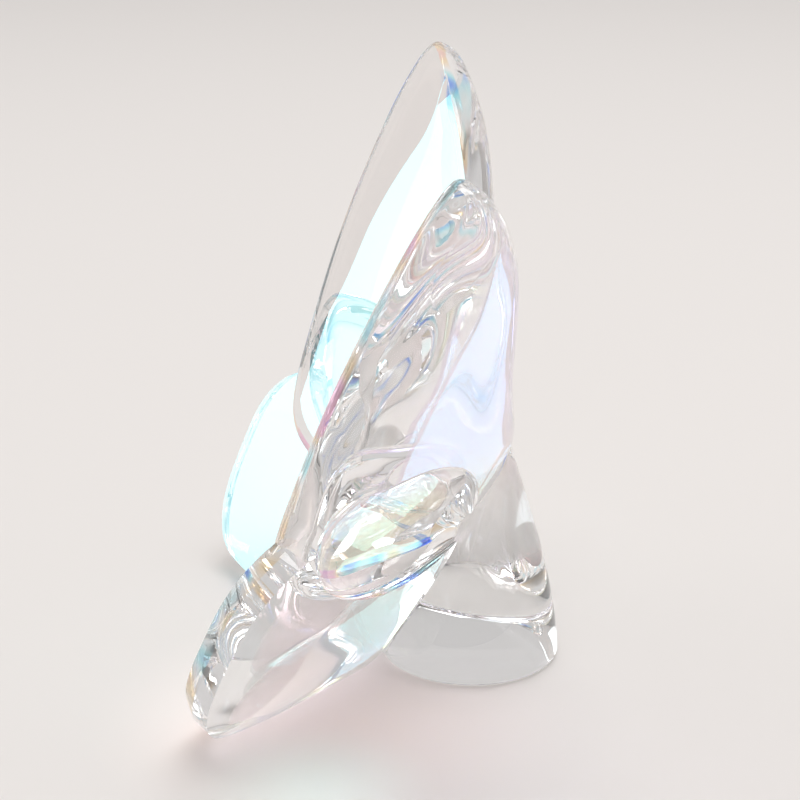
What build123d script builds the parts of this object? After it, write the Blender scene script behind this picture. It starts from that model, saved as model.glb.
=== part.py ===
"""Crystal butterfly ornament: four thick wings and a cone-shaped body that the wings lean against.

Millimetres, +Z up. The origin is the centre of the body's round foot, on the table.
X runs across the wings, and +Y points to the back, where the body stands.
"""
from build123d import *
from math import cos, hypot, radians, sin
import os

os.makedirs("parts", exist_ok=True)

# Body: an oblique cone with slightly bulging sides
foot_radius = 10.1          # round flat foot on the table
body_height = 26.0          # top of the cone, buried between the upper wings
body_lean = 3.1             # how far the top stands behind the foot's centre
tip_radius = 0.9            # radius left at the top of the cone
foot_round = 1.2            # polished round at the foot's edge
BODY_LEVEL_SHARES = (0, 0.15, 0.29, 0.53, 0.77, 1)        # of the body's height
BODY_GIRTH_SHARES = (1, 0.98, 0.87, 0.59, 0.28, 0)        # from the tip's radius to the foot's
BODY_SHIFT_SHARES = (0, -0.05, 0.08, 0.43, 0.75, 1)       # of the body's lean

# Upper wings: where they stand, how they lean, and how thick they are
upper_root_below = 1.0      # the wing's own origin, on the mirror plane, below the body's top
upper_root_back = 0.7       # how far that origin lies behind the foot's centre
upper_sweep = 35.0          # degrees, swept forwards from straight across
upper_lean = 26.9           # degrees, leaning back from upright
upper_reach = 37.6          # from the origin out to the widest point
upper_rise = 42.8           # from the origin up to the wing's top
upper_drop = 12.0           # from the origin down to the wing's lower edge
upper_back_depth = 5.3      # from the middle plane back to the crown
upper_front_depth = 1.5     # from the middle plane forwards to the facet, at the origin
facet_tilt = 3.0            # degrees that the front facet turns away from the middle plane
upper_crown_share = 0.30    # size of the back crown, against the outline
upper_bar_cut = 0.12        # depth of the flat bar ground along the outer rim, above the lower wing
upper_bar_turn = 21.2       # degrees that the bar turns downwards

# Lower wings
lower_root_below = 9.0      # the wing's own origin, below the body's top
lower_root_front = 0.92     # how far that origin lies before the foot's centre
lower_sweep = 38.0
lower_lean = 26.8
lower_reach = 39.0
lower_rise = 9.2
lower_ground = 0.23         # ground off below, where the wing stands on the table
lower_back_depth = 4.2      # from the middle plane back to the crown
lower_wall_back = 1.5       # from the middle plane back to the end of the straight rim
lower_wall_front = 0.7      # from the middle plane forwards to the bevel
lower_front_depth = 2.7     # from the middle plane to the flat front
lower_bevel = 0.9           # how far the bevel comes in from the rim
lower_crown_share = 0.20
lower_dome_turn = 35.0      # degrees at which the domed back meets the straight rim

# Olive cuts: a spindle-shaped groove behind each pair of wings, along their seam
olive_length = 41.0         # of the whole spindle, which runs out past the wing's edges
olive_width = 17.2
olive_depth = 3.6
olive_out = 21.3            # place of its middle in the upper wing's plane
olive_up = 0.1
olive_back = 4.65
olive_turn = 22.0           # degrees that its long axis climbs outwards

# Outline of the upper wing, from its tip inwards and round: shares of reach, and of rise or drop
UPPER_RIM_SHARES = (
    (0.889, 0.999), (0.778, 0.958), (0.570, 0.796), (0.350, 0.528), (0.110, 0.240), (-0.055, 0.036),
    (-0.066, -0.514), (0.075, -0.998), (0.374, -1.0), (0.672, -0.855), (0.842, -0.590), (0.913, -0.031),
    (0.981, 0.277), (1.0, 0.493), (0.993, 0.720), (0.962, 0.893),
)
UPPER_FACET_SHARES = (
    (0.697, 0.891), (0.665, 0.865), (0.566, 0.774), (0.343, 0.523), (0.122, 0.239), (-0.027, 0.023),
    (-0.027, -0.458), (0.106, -0.825), (0.372, -0.808), (0.638, -0.650), (0.766, -0.417), (0.830, 0.002),
    (0.795, 0.246), (0.782, 0.434), (0.718, 0.657), (0.691, 0.809),
)
# Outline of the lower wing, from its upper outer corner down and round
LOWER_RIM_SHARES = (
    (0.869, 0.811), (0.948, 0.511), (0.987, 0.133), (1.0, -0.207), (0.999, -0.450), (0.968, -0.690),
    (0.897, -0.865), (0.785, -0.950), (0.640, -0.995), (0.386, -1.02), (0.129, -1.0), (-0.060, -0.622),
    (-0.060, -0.10), (0.145, 0.480), (0.386, 0.944), (0.696, 1.0),
)
# Turns of the rounded rims, in degrees from the middle plane, and how full they are
BACK_TURNS = (90, 66, 40, 18)
FRONT_TURNS = (14, 31, 50)
back_power_share = 0.72     # 1 gives an ellipse, less gives a fuller rim
front_power_share = 0.75
DOME_SHARES = (1, 0.72, 0.4, 0.15, 0)       # from the straight rim's turn up to the crown's


def wing_plane(height, back, sweep, lean):
    """Middle plane of the right wing: x outwards, y up along the wing, z to the front."""
    across = Vector(1, 0, 0).rotate(Axis.Z, -sweep)
    upright = Vector(0, -1, 0).rotate(Axis.Z, -sweep)
    facing = upright.rotate(Axis((0, 0, 0), across), -lean)
    return Plane(origin=(0, back, height), x_dir=across, z_dir=facing)


def outline(shares, reach, rise, drop):
    """Outline points in the wing's own plane."""
    return [(u * reach, v * (rise if v > 0 else drop)) for u, v in shares]


def toward(points, goals, share):
    """Points moved by a share of the way to their goals."""
    return [(x + (gx - x) * share, y + (gy - y) * share) for (x, y), (gx, gy) in zip(points, goals)]


def shrunk(points, share):
    """The same outline, smaller, about its own middle."""
    middle_x = sum(x for x, y in points) / len(points)
    middle_y = sum(y for x, y in points) / len(points)
    return [(middle_x + (x - middle_x) * share, middle_y + (y - middle_y) * share) for x, y in points]


def back_sections(plane, rim, crown, depth):
    """Sections of a domed back, from its flat crown to the rim."""
    for turn in BACK_TURNS:
        inset_share = 1 - cos(radians(turn)) ** back_power_share
        yield plane.offset(-depth * sin(radians(turn)) ** back_power_share), toward(rim, crown, inset_share)
    yield plane, rim


def front_sections(plane, rim, facet, depth, tilt):
    """Sections of a rounded front rim, from the middle plane to the edge of a tilted facet."""
    last = radians(FRONT_TURNS[-1])
    yield plane, rim
    for turn in FRONT_TURNS:
        rise_share = (sin(radians(turn)) / sin(last)) ** front_power_share
        inset_share = (1 - cos(radians(turn)) ** front_power_share) / (1 - cos(last) ** front_power_share)
        section_plane = plane.offset(depth * rise_share).rotated((0, -tilt * rise_share, 0))
        yield section_plane, toward(rim, facet, inset_share)


def dome_sections(plane, rim, crown, near, far, start):
    """Sections of a shallow dome that meets the straight rim at an angle, from its crown to the rim."""
    for share in DOME_SHARES:
        turn = radians(start + (90 - start) * share)
        rise_share = (sin(turn) - sin(radians(start))) / (1 - sin(radians(start)))
        inset_share = 1 - cos(turn) / cos(radians(start))
        yield plane.offset(-near - (far - near) * rise_share), toward(rim, crown, inset_share)


def drawn_in(points, width):
    """The same outline, drawn in by a width towards its own middle."""
    middle_x = sum(x for x, y in points) / len(points)
    middle_y = sum(y for x, y in points) / len(points)
    spans = [hypot(x - middle_x, y - middle_y) for x, y in points]
    return [
        (x - (x - middle_x) * width / span, y - (y - middle_y) * width / span)
        for (x, y), span in zip(points, spans)
    ]


upper_plane = wing_plane(body_height - upper_root_below, upper_root_back, upper_sweep, upper_lean)
lower_plane = wing_plane(body_height - lower_root_below, -lower_root_front, lower_sweep, lower_lean)
lower_drop = (lower_plane.origin.Z + lower_ground) / cos(radians(lower_lean))
upper_rim = outline(UPPER_RIM_SHARES, upper_reach, upper_rise, upper_drop)
upper_facet = outline(UPPER_FACET_SHARES, upper_reach, upper_rise, upper_drop)
lower_rim = outline(LOWER_RIM_SHARES, lower_reach, lower_rise, lower_drop)

# Body
with BuildPart() as body:
    for level, girth, shift in zip(BODY_LEVEL_SHARES, BODY_GIRTH_SHARES, BODY_SHIFT_SHARES):
        with BuildSketch(Plane.XY.offset(level * body_height)):
            with Locations((0, shift * body_lean)):
                Circle(tip_radius + (foot_radius - tip_radius) * girth)
    loft()
    fillet(body.edges().group_by(Axis.Z)[0], foot_round)

# Olive cutter for the right side
olive_plane = Plane(
    origin=upper_plane.from_local_coords((olive_out, olive_up, -olive_back)),
    x_dir=upper_plane.x_dir.rotate(Axis((0, 0, 0), upper_plane.z_dir), olive_turn),
    z_dir=upper_plane.z_dir,
)
with BuildPart() as olive:
    with BuildSketch():
        with BuildLine():
            SagittaArc((-olive_length / 2, 0), (olive_length / 2, 0), olive_width / 2)
            Line((-olive_length / 2, 0), (olive_length / 2, 0))
        make_face()
    revolve(axis=Axis.X)
olive_cutter = olive_plane.location * scale(olive.part, by=(1, 1, 2 * olive_depth / olive_width))

# Right upper wing
upper_crown = shrunk(upper_rim, upper_crown_share)
bar_way = (cos(radians(upper_bar_turn)), -sin(radians(upper_bar_turn)))
bar_reach = max(x * bar_way[0] + y * bar_way[1] for x, y in upper_rim) - upper_bar_cut
bar_plane = Plane(
    origin=upper_plane.from_local_coords((bar_way[0] * bar_reach, bar_way[1] * bar_reach, 0)),
    z_dir=upper_plane.x_dir.rotate(Axis((0, 0, 0), upper_plane.z_dir), -upper_bar_turn),
)
with BuildPart() as upper_blank:
    for sections in (
        back_sections(upper_plane, upper_rim, upper_crown, upper_back_depth),
        front_sections(upper_plane, upper_rim, upper_facet, upper_front_depth, facet_tilt),
    ):
        for section_plane, points in sections:
            with BuildSketch(section_plane):
                with BuildLine():
                    Spline(*points, periodic=True)
                make_face()
        loft()
    split(bisect_by=bar_plane, keep=Keep.BOTTOM)
with BuildPart() as upper_wing_right:
    add(upper_blank.part)
    split(bisect_by=Plane.YZ, keep=Keep.TOP)
    add(body.part, mode=Mode.SUBTRACT)
    add(olive_cutter, mode=Mode.SUBTRACT)

# Right lower wing
lower_crown = shrunk(lower_rim, lower_crown_share)
with BuildPart() as lower_blank:
    for section_plane, points in (
        (lower_plane.offset(-lower_wall_back), lower_rim),
        (lower_plane.offset(lower_wall_front), lower_rim),
        (lower_plane.offset(lower_front_depth), drawn_in(lower_rim, lower_bevel)),
    ):
        with BuildSketch(section_plane):
            with BuildLine():
                Spline(*points, periodic=True)
            make_face()
    loft(ruled=True)
    for section_plane, points in dome_sections(
        lower_plane, lower_rim, lower_crown, lower_wall_back, lower_back_depth, lower_dome_turn
    ):
        with BuildSketch(section_plane):
            with BuildLine():
                Spline(*points, periodic=True)
            make_face()
    loft()
with BuildPart() as lower_wing_right:
    add(lower_blank.part)
    split(bisect_by=Plane.YZ, keep=Keep.TOP)
    split(bisect_by=Plane.XY, keep=Keep.TOP)
    add(body.part, mode=Mode.SUBTRACT)
    add(olive_cutter, mode=Mode.SUBTRACT)
    add(upper_blank.part, mode=Mode.SUBTRACT)

# Left wings, mirrored
with BuildPart() as upper_wing_left:
    mirror(upper_wing_right.part, about=Plane.YZ)
with BuildPart() as lower_wing_left:
    mirror(lower_wing_right.part, about=Plane.YZ)

pieces = {
    "body": body,
    "upper_wing_left": upper_wing_left,
    "upper_wing_right": upper_wing_right,
    "lower_wing_left": lower_wing_left,
    "lower_wing_right": lower_wing_right,
}
for name, piece in pieces.items():
    piece.part.label = name
    export_step(piece.part, f"parts/{name}.step")
    print(name, "solids", len(piece.part.solids()), "volume", round(piece.part.volume))
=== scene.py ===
# %% [markdown]
# # A crystal butterfly
#
# The ornament is one solid piece of clear crystal. Two tall wings stand up in a V, two rounder wings spread out below
# them down to the table, and a cone-shaped body leans against them from behind. Everything that the eye sees in it
# is light that was bent or turned back by its surfaces, so this lesson is about getting those surfaces right.
#
# The construction model comes first. It is a fixed frame in metres that the crystal is built into.

from math import cos, hypot, pi, radians, sin, tau

import bmesh
import bpy
import numpy as np
from mathutils import Matrix, Vector


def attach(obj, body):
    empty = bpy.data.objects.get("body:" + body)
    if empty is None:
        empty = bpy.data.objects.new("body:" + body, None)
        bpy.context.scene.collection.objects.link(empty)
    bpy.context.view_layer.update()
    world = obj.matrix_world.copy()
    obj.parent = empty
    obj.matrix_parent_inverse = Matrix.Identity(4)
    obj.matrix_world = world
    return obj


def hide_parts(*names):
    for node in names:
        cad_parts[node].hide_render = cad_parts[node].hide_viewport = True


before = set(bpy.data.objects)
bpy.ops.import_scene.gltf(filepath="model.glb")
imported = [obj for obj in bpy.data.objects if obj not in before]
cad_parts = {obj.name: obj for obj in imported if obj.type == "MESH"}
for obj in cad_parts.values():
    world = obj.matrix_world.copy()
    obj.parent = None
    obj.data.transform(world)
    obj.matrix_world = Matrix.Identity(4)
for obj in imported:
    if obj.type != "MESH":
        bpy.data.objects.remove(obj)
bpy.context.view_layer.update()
MM = 0.001
print("nodes:", ", ".join(sorted(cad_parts)))

# %% [markdown]
# ## The camera
#
# The picture looks at the ornament from its side, a little from above. The camera stands close, at about three and
# a half times the ornament's height, so the nearer wings look larger than the far ones. That closeness can't be had
# by turning the object, only by the distance, so the distance was settled first and the lens after it.

# %% Camera
camera_azimuth = radians(89.6)
camera_elevation = radians(19.4)
camera_distance = 217.0 * MM
camera_target = Vector((0, -8.02, 30.15)) * MM

camera = bpy.data.objects.new("camera", bpy.data.cameras.new("camera"))
bpy.context.scene.collection.objects.link(camera)
bpy.context.scene.camera = camera
toward_camera = Vector((
    sin(camera_azimuth) * cos(camera_elevation),
    -cos(camera_azimuth) * cos(camera_elevation),
    sin(camera_elevation),
))
camera.location = camera_target + toward_camera * camera_distance
camera.rotation_euler = toward_camera.to_track_quat("Z", "Y").to_euler()
camera.data.sensor_width = 36.0
camera.data.lens = 88.65
camera.data.clip_start = 10 * MM
camera.data.clip_end = 20.0
print("camera at", [round(c, 3) for c in camera.location])

# %% [markdown]
# ## Where the wings stand
#
# Each wing is flat enough to be drawn on a sheet of its own: x runs outwards along the wing, y runs up, and z comes
# out of its front. The sheet is then swept forwards and leant back. Only the right wings are drawn. The left ones
# are their mirror image, which comes at the very end, because a seam on the mirror plane is then exact.
#
# The outlines are given as shares of a wing's reach, rise and drop, so that a wing can be stretched without being
# drawn again.

# %% The wings' places
upper = dict(origin=(0, 0.7, 25.0), sweep=35.0, lean=26.9, reach=37.6, rise=42.8, drop=12.0)
lower = dict(origin=(0, -0.92, 17.0), sweep=38.0, lean=26.8, reach=39.0, rise=9.2, drop=19.3)


def wing_matrix(wing):
    """From a wing's own sheet to the ornament."""
    sweep, lean = radians(wing["sweep"]), radians(wing["lean"])
    across = Vector((cos(sweep), -sin(sweep), 0))
    facing = Vector((-sin(sweep) * cos(lean), -cos(sweep) * cos(lean), sin(lean)))
    matrix = Matrix((across, facing.cross(across), facing)).transposed().to_4x4()
    matrix.translation = wing["origin"]
    return matrix


def outline(shares, wing):
    """An outline's points on the wing's sheet, in millimetres."""
    return np.array([(u * wing["reach"], v * (wing["rise"] if v > 0 else wing["drop"])) for u, v in shares])


print("upper wing faces", [round(c, 2) for c in wing_matrix(upper).col[2][:3]])

# %% [markdown]
# ## Smooth outlines
#
# A few points are enough for an outline when a smooth line joins them. A closed cubic spline bends as little as it
# can and passes through every point. Its bends come from one small set of equations, which numpy solves.

# %% A smooth closed line
def smooth_line(points, steps=12):
    """The closed cubic spline through the points, with so many steps from each to the next."""
    count = len(points)
    spans = np.linalg.norm(np.roll(points, -1, axis=0) - points, axis=1)
    before = np.roll(spans, 1)
    jumps = (np.roll(points, -1, axis=0) - points) / spans[:, None]
    weights = np.zeros((count, count))
    for i in range(count):
        weights[i, i - 1] = before[i]
        weights[i, i] = 2 * (before[i] + spans[i])
        weights[i, (i + 1) % count] = spans[i]
    bends = np.linalg.solve(weights, 6 * (jumps - np.roll(jumps, 1, axis=0)))
    line = []
    for i in range(count):
        j = (i + 1) % count
        for t in np.arange(steps) / steps:
            s = 1 - t
            bow = ((s**3 - s) * bends[i] + (t**3 - t) * bends[j]) * spans[i] ** 2 / 6
            line.append(s * points[i] + t * points[j] + bow)
    return np.array(line)


square = np.array([(1, 1), (-1, 1), (-1, -1), (1, -1)], dtype=float)
print("a smooth line through a square's corners reaches", round(float(smooth_line(square).max()), 3))

# %% [markdown]
# ## Stacks of loops
#
# A fire-polished wing is thick in the middle and rounds over to its rim, and its outline isn't a circle, so neither
# a bevel nor a spin gives it. It is built as a stack of closed loops of edges, each drawn in by the right amount, and
# `bridge_loops` skins over each pair. Every shape is made in millimetres and turned to metres when it is finished.

# %% Loops, skins and finished pieces
def add_loop(shape, line, heights):
    """A closed loop of edges through the places of a line."""
    corners = [shape.verts.new((x, y, z)) for (x, y), z in zip(line, heights)]
    return [shape.edges.new(pair) for pair in zip(corners, corners[1:] + corners[:1])]


def skin(shape, loops):
    """Skins over the loops in turn and closes both ends."""
    for one, other in zip(loops, loops[1:]):
        bmesh.ops.bridge_loops(shape, edges=one + other)
    for end in (loops[0], loops[-1]):
        bmesh.ops.contextual_create(shape, geom=end)
    bmesh.ops.recalc_face_normals(shape, faces=shape.faces)


def finish_piece(shape, name, place=Matrix()):
    """Moves a shape to its place and writes it as an object in metres."""
    bmesh.ops.transform(shape, matrix=Matrix.Scale(MM, 4) @ place, verts=shape.verts)
    mesh = bpy.data.meshes.new(name)
    shape.to_mesh(mesh)
    shape.free()
    piece = bpy.data.objects.new(name, mesh)
    bpy.context.scene.collection.objects.link(piece)
    print(name, "has", len(mesh.polygons), "faces")
    return piece


rounding_steps = 20
quarter_turn = [pi / 4 * (1 - cos(pi * k / rounding_steps)) for k in range(rounding_steps + 1)]
print("a rounding has", len(quarter_turn), "loops, close together at both ends")

# %% [markdown]
# ## The upper wing
#
# Its back swells like a lens towards a crown. Its front rounds over quickly to a flat facet, which was ground and
# polished after the crystal was cast, so that facet meets the rounding in a sharp crease. The facet is tilted a
# little, so it is deeper towards the tip. Where the tip stands proud, a narrow flat bar was ground along the rim.
#
# A rounding whose loops follow a quarter circle looks like a pipe. Raising its sine and cosine to a power below one
# makes the wing fuller near the rim, as poured crystal is.

# %% The upper wing's outlines
UPPER_RIM = (
    (0.889, 0.999), (0.778, 0.958), (0.570, 0.796), (0.350, 0.528), (0.110, 0.240), (-0.055, 0.036),
    (-0.066, -0.514), (0.075, -0.998), (0.374, -1.0), (0.672, -0.855), (0.842, -0.590), (0.913, -0.031),
    (0.981, 0.277), (1.0, 0.493), (0.993, 0.720), (0.962, 0.893),
)
UPPER_FACET = (
    (0.697, 0.891), (0.665, 0.865), (0.566, 0.774), (0.343, 0.523), (0.122, 0.239), (-0.027, 0.023),
    (-0.027, -0.458), (0.106, -0.825), (0.372, -0.808), (0.638, -0.650), (0.766, -0.417), (0.830, 0.002),
    (0.795, 0.246), (0.782, 0.434), (0.718, 0.657), (0.691, 0.809),
)
crown_share = 0.30          # size of the flat top of the back's swelling, as a share of the rim
back_depth = 5.3
back_fullness = 0.72        # the power that the back's sines and cosines are raised to
front_depth = 1.5
front_fullness = 0.75
front_opening = radians(50)   # how far the front rounds over before it meets the facet
facet_tilt = radians(3)
print("points on the rim:", len(UPPER_RIM))

# %% The upper wing's shape
def shrunk(points, share):
    """A smaller copy of an outline about its middle."""
    middle = points.mean(axis=0)
    return middle + (points - middle) * share


shape = bmesh.new()
rim, facet = outline(UPPER_RIM, upper), outline(UPPER_FACET, upper)
crown = shrunk(rim, crown_share)
loops = []
for turn in reversed(quarter_turn):
    inset = 1 - cos(turn) ** back_fullness
    line = smooth_line(rim + (crown - rim) * inset)
    loops.append(add_loop(shape, line, [-back_depth * sin(turn) ** back_fullness] * len(line)))
for turn in quarter_turn[1:]:
    turn *= front_opening / quarter_turn[-1]
    rise = (sin(turn) / sin(front_opening)) ** front_fullness
    inset = (1 - cos(turn) ** front_fullness) / (1 - cos(front_opening) ** front_fullness)
    line = smooth_line(rim + (facet - rim) * inset)
    loops.append(add_loop(shape, line, front_depth * rise + line[:, 0] * sin(facet_tilt * rise)))
skin(shape, loops)
print("loops round the upper wing:", len(loops))

# %% The ground bar on its rim
bar_turn = radians(21.2)    # how far the bar's face looks down from straight outwards
bar_cut = 0.16              # how much of the rim the bar takes off
touching = 0.0001           # millimetres between corners that are as good as one


def everything(shape):
    """All corners, edges and faces of a shape."""
    return shape.verts[:] + shape.edges[:] + shape.faces[:]


def cut_off(shape, place, outwards, near):
    """Takes away what lies beyond a plane. Corners that are this near the plane count as on it."""
    bmesh.ops.bisect_plane(
        shape, geom=everything(shape), dist=near, plane_co=place, plane_no=outwards, clear_outer=True
    )


def close_openings(shape):
    """Closes each opening with a flat face."""
    bmesh.ops.holes_fill(shape, edges=[e for e in shape.edges if e.is_boundary], sides=0)


bar_way = Vector((cos(bar_turn), -sin(bar_turn), 0))
bar_reach = max(x * bar_way.x + y * bar_way.y for x, y in rim) - bar_cut
cut_off(shape, bar_way * bar_reach, bar_way, touching)
close_openings(shape)
bmesh.ops.recalc_face_normals(shape, faces=shape.faces)
crystal = finish_piece(shape, "crystal", wing_matrix(upper))

# %% [markdown]
# ## The lower wing
#
# It is a thick rounded tablet. The back is a shallow dome that meets a straight wall, the wall turns a sharp corner
# into a polished bevel at the front, and the front itself is one flat facet. The lower edge is ground off level with
# the table later, when the whole ornament is.

# %% The lower wing's outline
LOWER_RIM = (
    (0.869, 0.811), (0.948, 0.511), (0.987, 0.133), (1.0, -0.207), (0.999, -0.450), (0.968, -0.690),
    (0.897, -0.865), (0.785, -0.950), (0.640, -0.995), (0.386, -1.02), (0.129, -1.0), (-0.060, -0.622),
    (-0.060, -0.10), (0.145, 0.480), (0.386, 0.944), (0.696, 1.0),
)
lower_crown_share = 0.20
lower_back_depth = 4.2
wall_back = 1.5             # how far the wall reaches behind the sheet
wall_front = 0.7            # and in front of it
lower_front_depth = 2.7
bevel_width = 0.9
dome_start = radians(35)      # the dome starts this far round a quarter circle, so it meets the wall at a corner
print("points on the rim:", len(LOWER_RIM))

# %% The lower wing's shape
shape = bmesh.new()
rim = outline(LOWER_RIM, lower)
crown = shrunk(rim, lower_crown_share)
loops = []
for turn in reversed(quarter_turn):
    turn = dome_start + turn * (pi / 2 - dome_start) / quarter_turn[-1]
    rise = (sin(turn) - sin(dome_start)) / (1 - sin(dome_start))
    line = smooth_line(rim + (crown - rim) * (1 - cos(turn) / cos(dome_start)))
    loops.append(add_loop(shape, line, [-wall_back - (lower_back_depth - wall_back) * rise] * len(line)))
line = smooth_line(rim)
loops.append(add_loop(shape, line, [wall_front] * len(line)))
outwards = rim - rim.mean(axis=0)
outwards /= np.linalg.norm(outwards, axis=1)[:, None]
line = smooth_line(rim - outwards * bevel_width)
loops.append(add_loop(shape, line, [lower_front_depth] * len(line)))
skin(shape, loops)
lower_blank = finish_piece(shape, "lower_blank", wing_matrix(lower))

# %% [markdown]
# ## The olive cut
#
# Behind each upper wing's lower edge lies an almond-shaped hollow with a crisp edge. Glass cutters call it an olive:
# a round wheel sinks into the crystal and leaves the shape of a lens. The same shape comes from an arc that is spun
# about the line between its ends and then flattened, and it is taken away from the wing with a Boolean.

# %% The olive
olive_length = 41.0
olive_width = 17.2
olive_depth = 3.6
olive_place = (21.3, 0.1, -4.65)
olive_turn = radians(22)
arc_steps = 48
spin_steps = 64

shape = bmesh.new()
half, bulge = olive_length / 2, olive_width / 2
radius = (half**2 + bulge**2) / (2 * bulge)
opening = np.arcsin(half / radius)
arc = [shape.verts.new((-half, 0, 0))]
for turn in np.linspace(-opening, opening, arc_steps + 1)[1:-1]:
    arc.append(shape.verts.new((radius * sin(turn), radius * (cos(turn) - cos(opening)), 0)))
arc.append(shape.verts.new((half, 0, 0)))
edges = [shape.edges.new(pair) for pair in zip(arc, arc[1:])]
bmesh.ops.spin(shape, geom=arc + edges, axis=(1, 0, 0), angle=tau, steps=spin_steps, use_merge=True)
bmesh.ops.remove_doubles(shape, verts=shape.verts, dist=touching)
bmesh.ops.recalc_face_normals(shape, faces=shape.faces)
flattened = Matrix.Diagonal((1, 1, 2 * olive_depth / olive_width, 1))
on_wing = Matrix.Translation(olive_place) @ Matrix.Rotation(olive_turn, 4, "Z") @ flattened
olive_cutter = finish_piece(shape, "olive_cutter", wing_matrix(upper) @ on_wing)

# %% [markdown]
# ## The body
#
# The body is an oblique cone: its rings get smaller on the way up and drift backwards, first slowly and then faster,
# so its sides bulge a little. Two curves that pass close to a few values give each ring's radius and drift. At the
# table the edge of the foot is polished round.

# %% The body's rings
body_height = 26.0
foot_radius = 10.1
tip_radius = 0.9
body_lean = 3.1
foot_round = 0.6
BODY_LEVELS = (0, 0.15, 0.29, 0.53, 0.77, 1)
curve_order = 4
girth = np.polyfit(BODY_LEVELS, (1, 0.98, 0.87, 0.59, 0.28, 0), curve_order)
drift = np.polyfit(BODY_LEVELS, (0, -0.05, 0.08, 0.43, 0.75, 1), curve_order)


def body_ring(level):
    """The radius and the drift backwards at a share of the body's height."""
    return tip_radius + (foot_radius - tip_radius) * np.polyval(girth, level), body_lean * np.polyval(drift, level)


print("half way up the radius is", round(body_ring(0.5)[0], 2), "mm")

# %% The body's shape
foot_steps = 6              # steps round the foot's polished edge
first_height = foot_round * 1.5
ring_count = 32             # rings from there to the tip
ring_corners = 128

shape = bmesh.new()
edge_turns = [pi / (2 * foot_steps) * k for k in range(foot_steps + 1)]
rings = [(foot_round * (1 - cos(turn)) / body_height, foot_round * (1 - sin(turn))) for turn in edge_turns]
rings += [(level, 0) for level in np.linspace(first_height / body_height, 1, ring_count)]
loops = []
for level, inset in rings:
    radius, lean = body_ring(level)
    place = Matrix.Translation((0, lean, level * body_height))
    made = bmesh.ops.create_circle(
        shape, cap_ends=False, radius=radius - inset, segments=ring_corners, matrix=place
    )
    loops.append(list(dict.fromkeys(e for v in made["verts"] for e in v.link_edges)))
skin(shape, loops)
body_blank = finish_piece(shape, "body_blank")

# %% [markdown]
# ## One solid
#
# Crystal shows every face that light meets inside it. If the wings and the body only overlapped, the parts of their
# skins that lie within each other would show as ghosts. So they are joined into one skin with Booleans, and the olive
# is taken away from the wing between the two joins, because the body stands in front of its inner end.

# %% Join and cut
def combine(piece, other, operation):
    """Joins or cuts the piece with the other one, which is used up."""
    modifier = piece.modifiers.new(operation.lower(), "BOOLEAN")
    modifier.operation = operation
    modifier.object = other
    modifier.solver = "EXACT"
    graph = bpy.context.evaluated_depsgraph_get()
    mesh = bpy.data.meshes.new_from_object(piece.evaluated_get(graph))
    piece.modifiers.clear()
    piece.data = mesh
    bpy.data.objects.remove(other)
    print(operation.lower(), "leaves", len(mesh.polygons), "faces")


combine(crystal, lower_blank, "UNION")
combine(crystal, olive_cutter, "DIFFERENCE")
combine(crystal, body_blank, "UNION")

# %% [markdown]
# ## The mirror plane and the table
#
# The half that was built is cut at the mirror plane and mirrored. Corners very near that plane are first moved onto
# it, and faces that then lie flat in it are deleted, or they would stay as a wall inside the crystal. Then the
# ornament is ground level with the table, and the hole that this leaves is closed with a flat face. Last the crumbs
# of all this cutting go: faces too small to see, and edges that no face uses.

# %% Mirror and grind
on_cut = 0.01 * MM          # corners this near a cut count as on it
on_mirror = 0.03 * MM       # corners this near the mirror plane are moved onto it
same_corner = 0.002 * MM    # corners this near each other become one
same_at_seam = 0.02 * MM    # and so do these, where the two halves meet
crumb = 0.003 * MM          # edges and faces this small are tidied away

shape = bmesh.new()
shape.from_mesh(crystal.data)
cut_off(shape, (0, 0, 0), (-1, 0, 0), on_cut)
for corner in shape.verts:
    if abs(corner.co.x) < on_mirror:
        corner.co.x = 0
bmesh.ops.remove_doubles(shape, verts=shape.verts, dist=same_corner)
walls = [f for f in shape.faces if all(v.co.x == 0 for v in f.verts)]
bmesh.ops.delete(shape, geom=walls, context="FACES_ONLY")
bmesh.ops.mirror(shape, geom=everything(shape), merge_dist=same_at_seam, axis="X")
cut_off(shape, (0, 0, 0), (0, 0, -1), on_cut)
close_openings(shape)
bmesh.ops.remove_doubles(shape, verts=shape.verts, dist=crumb)
bmesh.ops.dissolve_degenerate(shape, dist=crumb, edges=shape.edges)
bmesh.ops.delete(shape, geom=[e for e in shape.edges if not e.link_faces], context="EDGES")
bmesh.ops.recalc_face_normals(shape, faces=shape.faces)
print("open edges:", sum(not e.is_manifold for e in shape.edges))
print("volume in cubic millimetres:", round(shape.calc_volume() / MM**3))

# %% [markdown]
# ## Crisp creases and smooth swellings
#
# Light from a smooth-shaded face bends as if the surface were round. A ground facet must not do that, so every edge
# at which two faces meet at a clear angle is marked sharp, and the shading breaks there as the crystal does.

# %% Creases
crease_angle = radians(26)
for edge in shape.edges:
    edge.smooth = edge.calc_face_angle(0) < crease_angle
for face in shape.faces:
    face.smooth = True
print("sharp edges:", sum(not e.smooth for e in shape.edges), "triangles:", len(shape.calc_loop_triangles()))
shape.to_mesh(crystal.data)
shape.free()
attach(crystal, "root")
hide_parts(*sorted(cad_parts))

# %% [markdown]
# ## Where the coat lies
#
# The polished fronts carry an iridescent coat, a metal oxide film a few hundred nanometres thick. It was laid in a
# vacuum from the front, so it lies on what faces forwards and thins out round the edges. Two numbers per face hold
# that: `coat` is 1 on a facet and falls to 0 round the rim, and `bevel` marks the narrow roundings and bevels between
# facet and rim. How squarely a face looks the way its wing does tells one from the other. The body was masked.

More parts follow.
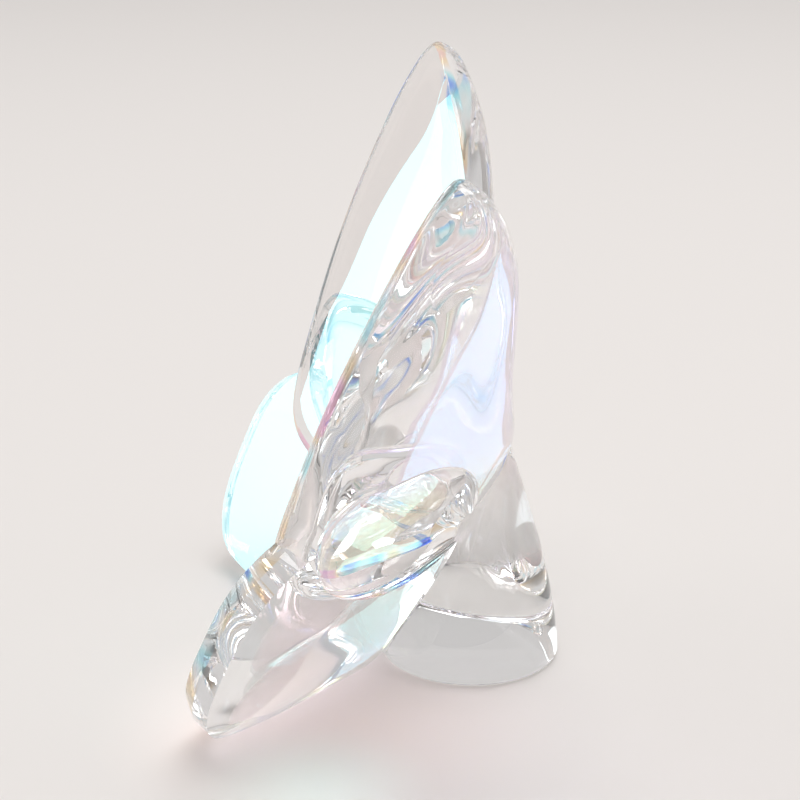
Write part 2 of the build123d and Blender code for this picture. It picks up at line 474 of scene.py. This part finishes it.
# %% Mark the coated faces
coat_from, coat_to = 0.70, 0.93     # the coat goes from none to full between these cosines
bevel_from, bevel_to = 0.2, 0.9     # and a rounding or bevel lies between these
wings_meet = 16 * MM                # the upper wings lie above this height, the lower ones below it
body_skin = 0.4                     # a face within so many millimetres of the cone's surface is the body's
facings = [wing_matrix(wing).to_3x3() @ Vector((0, 0, 1)) for wing in (lower, upper)]


def on_body(place):
    """Whether a place lies on the body's side."""
    radius, lean = body_ring(place.z / MM / body_height)
    return abs(hypot(place.x / MM, place.y / MM - lean) - radius) < body_skin


coat = crystal.data.attributes.new("coat", "FLOAT", "FACE")
bevel = crystal.data.attributes.new("bevel", "FLOAT", "FACE")
for face, full, edge in zip(crystal.data.polygons, coat.data, bevel.data):
    if on_body(face.center):
        continue
    normal = Vector((face.normal.x if face.center.x > 0 else -face.normal.x, face.normal.y, face.normal.z))
    front = normal.dot(facings[face.center.z > wings_meet])
    full.value = min(1, max(0, (front - coat_from) / (coat_to - coat_from)))
    edge.value = float(bevel_from < front < bevel_to)
print("fully coated:", sum(v.value == 1 for v in coat.data), "bevels:", sum(v.value == 1 for v in bevel.data))

# %% [markdown]
# ## Clear crystal
#
# Lead crystal bends light more than window glass does, by an index of 1.55, and it is colourless and perfectly
# smooth. In Blender that is the Principled shader with full transmission and no roughness. Its thin film sockets hold
# the coat: the film's own index is set here, once, and its thickness follows below.
#
# The helpers spare repetition: one starts a material, one makes a node and links what goes into it, one fills a
# colour ramp and one mixes two colours. A Mix node has sockets for several kinds of data under the same names, so
# here they go by number.

# %% The helpers for materials
def new_finish(name):
    """A new material, its nodes and its Principled shader."""
    finish = bpy.data.materials.new(name)
    finish.use_nodes = True
    return finish, finish.node_tree, finish.node_tree.nodes["Principled BSDF"]


def add(tree, kind, inputs, **settings):
    """A new node with its settings and its inputs, which are values or other nodes' outputs."""
    node = tree.nodes.new("ShaderNode" + kind)
    for name, value in settings.items():
        setattr(node, name, value)
    for name, value in inputs.items():
        if isinstance(value, bpy.types.NodeSocket):
            tree.links.new(value, node.inputs[name])
        else:
            node.inputs[name].default_value = value
    return node


def fill_ramp(node, stops):
    """Puts the colours of the stops on a ramp."""
    elements = node.color_ramp.elements
    while len(elements) < len(stops):
        elements.new(0.5)
    for element, (position, colour) in zip(elements, stops):
        element.position = position
        element.color = (*colour, 1)


def mix_colours(tree, share, one, other):
    """The mixture of two colours, from all of the one at a share of 0 to all of the other at 1."""
    return add(tree, "Mix", {0: share, 6: one, 7: other}, data_type="RGBA").outputs[2]


print("helpers:", ", ".join(helper.__name__ for helper in (new_finish, add, fill_ramp, mix_colours)))

# %% The crystal's shader
crystal_finish, tree, shader = new_finish("crystal")
shader.inputs["Roughness"].default_value = 0.0
shader.inputs["IOR"].default_value = 1.55
shader.inputs["Transmission Weight"].default_value = 1.0
shader.inputs["Thin Film IOR"].default_value = 2.2
print("crystal bends light by", shader.inputs["IOR"].default_value)

# %% [markdown]
# ## The coat's thickness
#
# A film this thin turns back some colours and lets the others through, and a few tens of nanometres change which.
# The left wings' film, about 180 nm thick, turns back a pale cyan. The right wings stood nearer the source: their film
# is thicker and changes with the height, so light that comes through it goes from yellow through rose to lavender on
# the way up. A broad noise makes the colours drift, as no coat is quite even.

# %% Film
film_scale = 400.0          # nanometres at a ramp's value of 1
crystal_height = 64.0
left_film = 176.0
# heights in millimetres, and the film's thickness there in nanometres
RIGHT_FILM = ((0, 306), (12, 306), (17, 290), (20, 285), (26, 300), (33, 327), (64, 338))
film_drift = 10.0           # nanometres either way
drift_scale = 40.0          # the noise's scale: the higher, the finer

place = add(tree, "TexCoord", {}).outputs["Object"]
axes = add(tree, "SeparateXYZ", {"Vector": place})
height = add(tree, "MapRange", {"Value": axes.outputs["Z"], "From Max": crystal_height * MM}).outputs["Result"]
is_right = add(tree, "Math", {0: axes.outputs["X"], 1: 0.0}, operation="GREATER_THAN").outputs[0]
film_ramp = add(tree, "ValToRGB", {"Fac": height})
fill_ramp(film_ramp, [(z / crystal_height, (film / film_scale,) * 3) for z, film in RIGHT_FILM])
even_film = add(
    tree, "Mix", {0: is_right, 2: left_film / film_scale, 3: film_ramp.outputs["Color"]}, data_type="FLOAT"
)
drifting = add(tree, "TexNoise", {"Vector": place, "Scale": drift_scale, "Detail": 1.0})
uneven = add(
    tree, "Math", {0: drifting.outputs["Fac"], 1: 2 * film_drift, 2: -film_drift}, operation="MULTIPLY_ADD"
)
thickness = add(
    tree, "Math", {0: even_film.outputs[0], 1: film_scale, 2: uneven.outputs[0]}, operation="MULTIPLY_ADD"
)
coat_mask = add(tree, "Attribute", {}, attribute_name="coat").outputs["Fac"]
masked = add(tree, "Math", {0: thickness.outputs[0], 1: coat_mask}, operation="MULTIPLY")
tree.links.new(masked.outputs[0], shader.inputs["Thin Film Thickness"])
print("film on the left wings:", left_film, "nm")

# %% [markdown]
# ## The coat's own colour
#
# Seen through the crystal from behind, the film also tints what is beyond it. The shader's colour carries that: clear
# where there is no coat, and following the same heights as the film where there is. On the bevels the film changes
# within a millimetre or two, and there the eye sees short runs of blue, cyan, amber and rose.

# %% Tints
clear = (1, 1, 1, 1)
left_tint = (0.86, 0.87, 0.86, 1)
# heights in millimetres, and the tint there
RIGHT_TINT = (
    (0, (1, 0.93, 0.92)), (14, (1, 0.93, 0.88)), (18, (1, 0.88, 0.50)), (22, (1, 0.88, 0.55)),
    (27, (0.94, 0.80, 0.88)), (34, (0.86, 0.67, 1)), (64, (0.80, 0.72, 1)),
)
# the noise's values, and the tint there
BEVEL_TINT = (
    (0.36, (0.08, 0.20, 1)), (0.43, (0.35, 0.90, 1)), (0.50, (1, 1, 1)), (0.56, (1, 0.70, 0.35)),
    (0.63, (0.90, 0.35, 0.60)),
)
run_scale = 90.0

tint_ramp = add(tree, "ValToRGB", {"Fac": height})
fill_ramp(tint_ramp, [(z / crystal_height, tint) for z, tint in RIGHT_TINT])
facet_tint = mix_colours(tree, is_right, left_tint, tint_ramp.outputs["Color"])
tinted = mix_colours(tree, coat_mask, clear, facet_tint)
runs = add(tree, "TexNoise", {"Vector": place, "Scale": run_scale, "Detail": 2.0})
bevel_ramp = add(tree, "ValToRGB", {"Fac": runs.outputs["Fac"]})
fill_ramp(bevel_ramp, BEVEL_TINT)
bevel_mask = add(tree, "Attribute", {}, attribute_name="bevel").outputs["Fac"]
bevelled = mix_colours(tree, bevel_mask, tinted, bevel_ramp.outputs["Color"])
tree.links.new(bevelled, shader.inputs["Base Color"])
print("tints by height:", len(RIGHT_TINT), "tints on the bevels:", len(BEVEL_TINT))

# %% [markdown]
# ## Light through the crystal
#
# A renderer that follows light from the eye can't find a lamp through curved glass, so glass casts a shadow as black
# as iron's and looks dark inside. Real crystal gathers that light and lets it through. Where a ray only asks whether
# a lamp is in sight, the material therefore answers with plain, half transparent glass.

# %% Let lamp light through
passing = (0.49, 0.485, 0.48, 1)    # the share of lamp light that passes each face
path = add(tree, "LightPath", {})
see_through = add(tree, "BsdfTransparent", {"Color": passing})
either = add(
    tree, "MixShader",
    {0: path.outputs["Is Shadow Ray"], 1: shader.outputs["BSDF"], 2: see_through.outputs["BSDF"]},
)
tree.links.new(either.outputs["Shader"], tree.nodes["Material Output"].inputs["Surface"])
crystal.data.materials.clear()
crystal.data.materials.append(crystal_finish)
print("nodes in the crystal's material:", len(tree.nodes))

# %% [markdown]
# ## The table
#
# The ornament stands on a pale matt table that runs up into the distance. Light that the crystal gathers falls on the
# table beside it as two soft glows, one rosy and one pale green. Following that light would take hours, so the glows
# are part of the table's colour, each fading out from its centre. The table lies a hair below the crystal, because
# two faces in one place flicker.

# %% Table
table_colour = (0.72, 0.69, 0.67, 1)
table_reach = 3.0           # metres from its middle to its edges
table_gap = 0.05 * MM
# each glow's centre and reach in metres, and its colour
GLOWS = (
    ((0.017, -0.015, 0), 0.028, (0.95, 0.85, 0.82, 1)),
    ((0.031, -0.017, 0), 0.014, (0.93, 1.0, 0.96, 1)),
)

shape = bmesh.new()
bmesh.ops.create_grid(shape, x_segments=1, y_segments=1, size=table_reach / MM)
table = finish_piece(shape, "table")
table.location.z = -table_gap
table_finish, tree, matt = new_finish("table")
matt.inputs["Roughness"].default_value = 0.6
matt.inputs["Specular IOR Level"].default_value = 0.2
place = add(tree, "TexCoord", {}).outputs["Object"]
colour = table_colour
for centre, reach, glow in GLOWS:
    away = add(tree, "VectorMath", {0: place, 1: centre}, operation="DISTANCE")
    fade = add(
        tree, "MapRange", {"Value": away.outputs["Value"], "From Max": reach, "To Min": 1.0, "To Max": 0.0},
        interpolation_type="SMOOTHSTEP",
    )
    colour = mix_colours(tree, fade.outputs["Result"], colour, glow)
tree.links.new(colour, matt.inputs["Base Color"])
table.data.materials.append(table_finish)

# %% [markdown]
# ## Lamps
#
# A large lamp above gives plain, soft light. A smaller one stands to the left, just where the far wings' facets
# mirror it, and that is what fills them with pale cyan.

# %% Two soft lamps
def softbox(name, place, aim, width, height, power):
    """A rectangular lamp that stands at a place, in metres, and is turned to what it lights."""
    lamp = bpy.data.lights.new(name, "AREA")
    lamp.shape = "RECTANGLE"
    lamp.size, lamp.size_y = width, height
    lamp.energy = power
    holder = bpy.data.objects.new(name, lamp)
    holder.location = place
    holder.rotation_euler = (Vector(place) - Vector(aim)).to_track_quat("Z", "Y").to_euler()
    bpy.context.scene.collection.objects.link(holder)
    print(name, "lamp:", power, "W")


softbox("top", place=(-0.1, 0.1, 1.0), aim=(0, 0, 0), width=0.7, height=0.7, power=7.6)
softbox("left", place=(-0.26, -1.0, 0.31), aim=(0, 0, 0.03), width=0.38, height=0.50, power=1.18)

# %% [markdown]
# ## The room
#
# Clear crystal is drawn by what it mirrors and bends, so a room that is equally bright on all sides would make it
# vanish. The room is darker on the side that the picture is taken from, which puts soft greys into the nearer
# wings. Light crosses many faces before it leaves the crystal, so the renderer is allowed that many turns.

# %% The room
room_colour = (1, 0.98, 0.97, 1)
room_strength = 0.62
near_strength = 0.16          # towards +x, where the picture is taken from
dim_from, dim_to = 0.1, 0.6   # the x of the directions between which the light falls

world = bpy.data.worlds.new("room")
bpy.context.scene.world = world
world.use_nodes = True
tree = world.node_tree
way = add(tree, "SeparateXYZ", {"Vector": add(tree, "TexCoord", {}).outputs["Generated"]})
strength = add(tree, "MapRange", {
    "Value": way.outputs["X"], "From Min": dim_from, "From Max": dim_to,
    "To Min": room_strength, "To Max": near_strength,
})
background = tree.nodes["Background"]
background.inputs["Color"].default_value = room_colour
tree.links.new(strength.outputs["Result"], background.inputs["Strength"])
print("the room's light falls from", room_strength, "to", near_strength)

# %% Plain colours and many turns of light
light_turns = 40

scene = bpy.context.scene
scene.view_settings.view_transform = "Standard"
scene.cycles.max_bounces = light_turns
scene.cycles.glossy_bounces = light_turns
scene.cycles.transmission_bounces = light_turns
print("light may turn", light_turns, "times")
